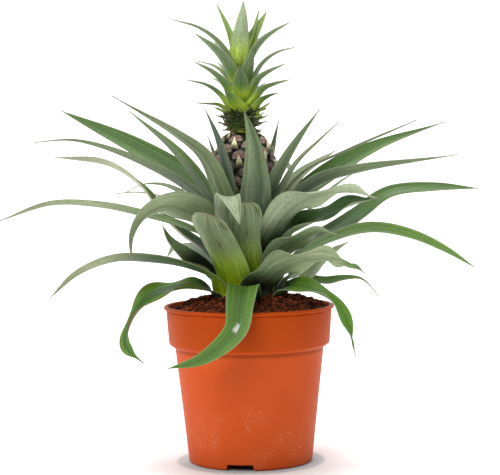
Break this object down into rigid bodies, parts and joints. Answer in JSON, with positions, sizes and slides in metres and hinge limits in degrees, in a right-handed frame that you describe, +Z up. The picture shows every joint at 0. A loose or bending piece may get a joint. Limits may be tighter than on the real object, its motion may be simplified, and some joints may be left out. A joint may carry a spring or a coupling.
{
  "type": "potted pineapple plant",
  "caption": "Pineapple plant with a small crowned fruit above a wide rosette of arching strap leaves, standing in a round tapered nursery pot filled with soil.",
  "frame": {"origin": "middle of the flat foot under the pot, on the surface the pot stands on", "axes": "+Z up along the pot's axis; -Y is the front, the side seen in the picture; +X to the viewer's right"},
  "size_m": [0.342, 0.212, 0.323],
  "materials": {
    "pot": "satin",
    "soil": "matte",
    "stem": "matte",
    "fruit": "satin",
    "crown": "satin",
    "silver_leaf": "satin",
    "green_leaf": "satin"
  },
  "bodies": {
    "root": {"pot": "pot", "soil": "soil", "stem": "stem", "fruit": "fruit", "crown": "crown", "leaf_02": "silver_leaf", "leaf_03": "silver_leaf", "leaf_04": "silver_leaf", "leaf_05": "silver_leaf", "leaf_06": "silver_leaf", "leaf_01": "silver_leaf", "leaf_07": "silver_leaf", "leaf_09": "silver_leaf", "leaf_10": "silver_leaf", "leaf_08": "silver_leaf", "leaf_11": "silver_leaf", "leaf_12": "silver_leaf", "leaf_13": "green_leaf", "leaf_14": "silver_leaf", "leaf_15": "silver_leaf", "leaf_16": "green_leaf", "leaf_17": "silver_leaf", "leaf_18": "silver_leaf", "leaf_22": "silver_leaf", "leaf_27": "silver_leaf", "leaf_20": "silver_leaf", "leaf_21": "silver_leaf", "leaf_23": "green_leaf", "leaf_24": "silver_leaf", "leaf_25": "silver_leaf", "leaf_26": "silver_leaf", "leaf_19": "silver_leaf", "leaf_28": "silver_leaf", "leaf_29": "silver_leaf", "leaf_30": "green_leaf", "leaf_32": "silver_leaf", "leaf_31": "green_leaf", "leaf_33": "silver_leaf", "leaf_34": "silver_leaf", "leaf_35": "green_leaf", "leaf_36": "silver_leaf", "leaf_37": "silver_leaf", "leaf_38": "green_leaf", "leaf_39": "silver_leaf", "leaf_40": "silver_leaf", "leaf_45": "silver_leaf", "leaf_41": "silver_leaf", "leaf_42": "green_leaf", "leaf_43": "green_leaf", "leaf_44": "green_leaf", "leaf_46": "silver_leaf", "leaf_47": "green_leaf"}
  },
  "joints": []
}
